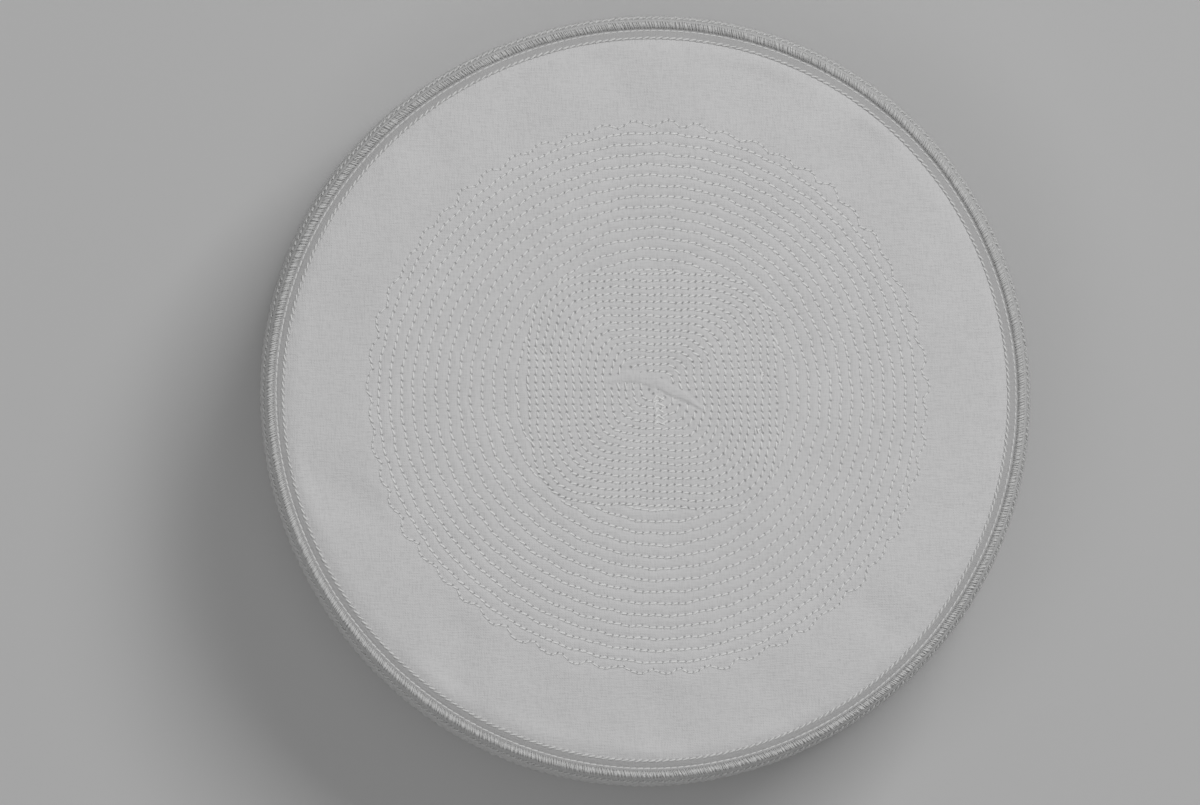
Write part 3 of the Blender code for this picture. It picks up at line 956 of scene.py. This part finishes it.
# The band's white thread is painted darker than the crown's: painted shade on the steep wall.
band_thread = sewing_thread("white_band_thread_painted_shade", (0.81, 0.81, 0.805), 0.7)
band_row_count = int((BAND_HEIGHT - HEM_HEIGHT - BAND_TOP_MARGIN) / BAND_ROW_PITCH)
half_way = band_row_count // 2
band_rows("lower_band_stitches", 0, half_way, band_thread)
band_rows("upper_band_stitches", half_way, band_row_count, band_thread)
hem_stitch_count = int(round(math.tau * RIM_RADIUS / HEM_STITCH))
hem_turns = np.arange(hem_stitch_count + 1) * math.tau / hem_stitch_count
hem_holes = band_hole(hem_turns, HEM_HEIGHT - HEM_ROW_DROP)
hem_sewing = sew("hem_stitches", hem_holes[:-1], hem_holes[1:], band_up(hem_turns[:-1]), band_thread)

# Edge roll and whip stitches
# Cloth rolled over the band's top edge, bound by hand all round with close slanting whip stitches
# of fine white cotton thread. They lie in pairs, are none too even, and run on down the outside of
# the wall as slanting feet.
ROLL_WIDTH = 0.0016
ROLL_RISE = 0.0015
ROLL_RADIUS = BAND_TOP_RADIUS - ROLL_WIDTH / 2
ROLL_SIDES = 12
WHIP_STEP = 0.00068
WHIP_LEAN = 0.00075
WHIP_PAIR = 0.00031
WHIP_BITE = 0.00022
WHIP_INNER_REACH = 0.00094
WHIP_OUTER_REACH = 0.00084
WHIP_START_RISE = 0.00030
WHIP_END_DROP = 0.00010
WHIP_STRAY = 0.00014
WHIP_LEAN_STRAY = 0.00030
WHIP_REACH_STRAY = 0.00010
WHIP_THREAD_RADIUS = 0.00015
WHIP_ARCH = 0.00142
FOOT_START_DROP = 0.00040
FOOT_DROP = 0.0026
FOOT_DROP_STRAY = 0.0003
FOOT_LEAN = 0.00045
FOOT_THREAD_RADIUS = 0.00016
# The roll's white cotton is painted darker: painted shade on the rolled edge.
ROLL_TINTS_PAINTED_SHADE = ((0.62, 0.62, 0.615), (0.55, 0.55, 0.55))
roll_foot = BAND_HEIGHT + SEWN_GAP
roll_outline = []
for number in range(ROLL_SIDES + 1):
    lean = math.tau * (number + 0.5) / ROLL_SIDES
    roll_outline.append(
        (
            ROLL_RADIUS + (ROLL_WIDTH / 2 - WHIP_BITE) * math.cos(lean),
            max(roll_foot, roll_foot + (ROLL_RISE / 2 - WHIP_BITE) * (1 + math.sin(lean))),
        )
    )
edge_roll = turn_outline("edge_roll_cloth", roll_outline, STEPS_ROUND)
round_radius, round_turn, round_height = round_places(edge_roll)
cloth_along_and_up(edge_roll, round_radius, round_turn, round_height + round_radius)
set_places(edge_roll, on_band(round_radius, round_turn, round_height))
edge_roll.data.materials.append(woven_cotton("rolled_edge_cotton_painted_shade", *ROLL_TINTS_PAINTED_SHADE, cloth_map="cloth"))
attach(edge_roll, "root")
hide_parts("edge_roll")

whip_count = int(round(math.tau * ROLL_RADIUS / WHIP_STEP))
whip_turns = np.arange(whip_count) * math.tau / whip_count
whip_turns = np.concatenate([whip_turns, whip_turns + WHIP_PAIR / ROLL_RADIUS])
chance = np.random.default_rng(11)
uneven = chance.uniform(-1.0, 1.0, (4, len(whip_turns)))
whip_turns = whip_turns + WHIP_STRAY * uneven[0] / ROLL_RADIUS
whip_leans = (WHIP_LEAN + WHIP_LEAN_STRAY * uneven[1]) / ROLL_RADIUS
inner_edge = ROLL_RADIUS - WHIP_INNER_REACH + WHIP_REACH_STRAY * uneven[2]
outer_edge = ROLL_RADIUS + WHIP_OUTER_REACH + WHIP_REACH_STRAY * uneven[3]
whip_starts = on_band(inner_edge, whip_turns, roll_foot + WHIP_START_RISE)
whip_ends = on_band(outer_edge, whip_turns + whip_leans, roll_foot - WHIP_END_DROP)
# The whip's white thread is painted darker than the crown's: painted shade on the roll.
whip_thread = sewing_thread("white_whip_thread_painted_shade", (0.80, 0.80, 0.795), 0.7)
whip_sewing = sew(
    "whip_stitches",
    whip_starts,
    whip_ends,
    straight_up(len(whip_turns)),
    whip_thread,
    radius=WHIP_THREAD_RADIUS,
    arch=WHIP_ARCH,
    sunk=0.0,
    slant=0.0,
    full=0.75,
)
foot_turns = whip_turns + whip_leans
foot_starts = on_band(outer_edge, foot_turns, roll_foot - FOOT_START_DROP)
foot_heights = BAND_HEIGHT - FOOT_DROP + FOOT_DROP_STRAY * uneven[2]
foot_ends = band_hole(foot_turns + FOOT_LEAN / ROLL_RADIUS, foot_heights)
foot_sewing = sew(
    "whip_stitch_feet",
    foot_starts,
    foot_ends,
    band_up(foot_turns),
    band_thread,
    strand=FLAT_STRAND,
    radius=FOOT_THREAD_RADIUS,
    arch=0.00012,
    sunk=0.00004,
    slant=0.0,
)

# Edge tape
# A narrow folded strip of the crown's cotton laid over its seam and stitched down along both
# edges: separate slanting stitches on the inner edge, a fine tight row near the outer one.
TAPE_THIN = 0.00038
TAPE_LIFT = 0.00065
TAPE_SEAT_GAP = 0.00006
TAPE_EDGE_RADIUS = 0.08716
TAPE_EDGE_DROP = 0.00024
TAPE_EDGE_WIDTH = 0.00025
TAPE_ROW_DEPTH = 0.00014
TAPE_ROW_WIDTH = 0.00022
TAPE_OVERLAP = 0.0001
TAPE_OUTER_RADIUS = BAND_TOP_RADIUS - BAND_WALL + TAPE_OVERLAP
TAPE_INNER_RADIUS = TAPE_OUTER_RADIUS - TAPE_WIDTH
TAPE_LAP_RADIUS = TAPE_OUTER_RADIUS + 0.00075
INNER_ROW_RADIUS = 0.08520
OUTER_ROW_RADIUS = 0.08695
INNER_ROW_STITCH = 0.00159
OUTER_ROW_STITCH = 0.00158
# The tape is the crown's white cotton, painted darker: painted shade on its sunken strip beside the roll.
TAPE_TINTS_PAINTED_SHADE = ((0.53, 0.528, 0.528), (0.47, 0.468, 0.468))


def tape_seat(radius):
    """Height of what the tape lies on: the crown's rolled edge, and outside it the band."""
    return np.maximum(crown_level(radius), BAND_HEIGHT) + TAPE_SEAT_GAP


def tape_top(radius):
    """Height of the tape's upper face: pulled in under its outer row, and lower outside it."""
    share = (radius - TAPE_INNER_RADIUS) / (TAPE_LAP_RADIUS - TAPE_INNER_RADIUS)
    full = np.sin(np.pi * np.clip(share, 0.0, 1.0)) ** 0.5
    pulled_in = TAPE_ROW_DEPTH * np.exp(-(((radius - OUTER_ROW_RADIUS) / TAPE_ROW_WIDTH) ** 2))
    pulled_in = pulled_in + TAPE_EDGE_DROP * smooth((radius - TAPE_EDGE_RADIUS) / TAPE_EDGE_WIDTH)
    return tape_seat(radius) + TAPE_THIN * (0.25 + 0.75 * full) + TAPE_LIFT * share**2 - pulled_in


def tape_outline():
    radii = np.linspace(TAPE_INNER_RADIUS, TAPE_LAP_RADIUS, 19)
    under = [(radius, tape_seat(radius)) for radius in radii[::3]]
    over = [(radius, tape_top(radius)) for radius in radii[::-1]]
    return under + over + under[:1]


tape = turn_outline("edge_tape_cloth", tape_outline(), STEPS_ROUND)
round_radius, round_turn, round_height = round_places(tape)
cloth_along_and_up(tape, round_radius, round_turn, round_radius)
set_places(tape, on_band(round_radius, round_turn, round_height))
tape.data.materials.append(woven_cotton("tape_cotton_painted_shade", *TAPE_TINTS_PAINTED_SHADE, cloth_map="cloth"))
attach(tape, "root")
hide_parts("edge_tape")
tape_thread = sewing_thread("white_tape_thread", (0.86, 0.86, 0.855), 0.6)


def tape_row(name, row_radius, stitch, drop, **looks):
    """A row of stitches along the tape at one radius."""
    count = int(round(math.tau * row_radius / stitch))
    turns = np.arange(count + 1) * math.tau / count
    holes = on_band(np.full(count + 1, row_radius), turns, tape_top(row_radius) - drop)
    sewing = sew(name, holes[:-1], holes[1:], straight_up(count), tape_thread, **looks)


tape_row("inner_tape_stitches", INNER_ROW_RADIUS, INNER_ROW_STITCH, 0.00005, radius=0.00024, slant=0.00026)
tape_row("outer_tape_stitches", OUTER_ROW_RADIUS, OUTER_ROW_STITCH, 0.00002, radius=0.00018, slant=0.00006)

# Floor, light and camera
# A plain pale floor, a large soft lamp from the upper right of the picture, a weaker one almost
# straight above, a faint fill from all round, and a long lens nearly straight above the cap.
FLOOR_SIZE = 12.0
FLOOR_DROP = 0.0001
FLOOR_GREY = (0.58, 0.58, 0.58, 1.0)
FILL_STRENGTH = 0.20
LAMPS = [
    {"name": "key_lamp", "place": (0.9, 1.1, 2.2), "size": 1.0, "power": 26.0},
    {"name": "top_lamp", "place": (-0.3, -0.2, 2.6), "size": 1.6, "power": 12.6},
]
CAMERA_PLACE = (-0.0109, -0.0063, 1.8)
CAMERA_AIM = (-0.0109, -0.0003, 0.0)
CAMERA_LENS_MM = 220.3
bpy.ops.object.select_all(action="DESELECT")
bpy.ops.mesh.primitive_plane_add(size=FLOOR_SIZE, location=(0.0, 0.0, -FLOOR_DROP))
floor = bpy.context.object
floor.name = "floor"
bpy.ops.object.transform_apply(location=True, rotation=True, scale=True)
floor_paint = bpy.data.materials.new("pale_floor")
floor_paint.use_nodes = True
floor_surface = floor_paint.node_tree.nodes["Principled BSDF"]
floor_surface.inputs["Base Color"].default_value = FLOOR_GREY
floor_surface.inputs["Roughness"].default_value = 0.95
floor.data.materials.append(floor_paint)

scene = bpy.context.scene
scene.view_settings.view_transform = "Standard"
sky = bpy.data.worlds.new("soft_fill")
sky.use_nodes = True
sky.node_tree.nodes["Background"].inputs["Color"].default_value = (1.0, 1.0, 1.0, 1.0)
sky.node_tree.nodes["Background"].inputs["Strength"].default_value = FILL_STRENGTH
scene.world = sky


def add_lamp(name, place, size, power):
    """A soft square lamp that faces the cap."""
    lamp = bpy.data.lights.new(name, "AREA")
    lamp.size = size
    lamp.energy = power
    item = bpy.data.objects.new(name, lamp)
    scene.collection.objects.link(item)
    item.location = place
    item.rotation_euler = (-item.location).to_track_quat("-Z", "Y").to_euler()


for row in LAMPS:
    add_lamp(row["name"], row["place"], row["size"], row["power"])

camera = bpy.data.objects.new("camera", bpy.data.cameras.new("camera"))
scene.collection.objects.link(camera)
camera.location = CAMERA_PLACE
aim = camera.location.copy()
aim.x, aim.y, aim.z = (CAMERA_AIM[axis] - CAMERA_PLACE[axis] for axis in range(3))
camera.rotation_euler = aim.to_track_quat("-Z", "Y").to_euler()
camera.data.lens = CAMERA_LENS_MM
camera.data.sensor_width = 36.0
camera.data.clip_start = 0.01
camera.data.clip_end = 50.0
scene.camera = camera
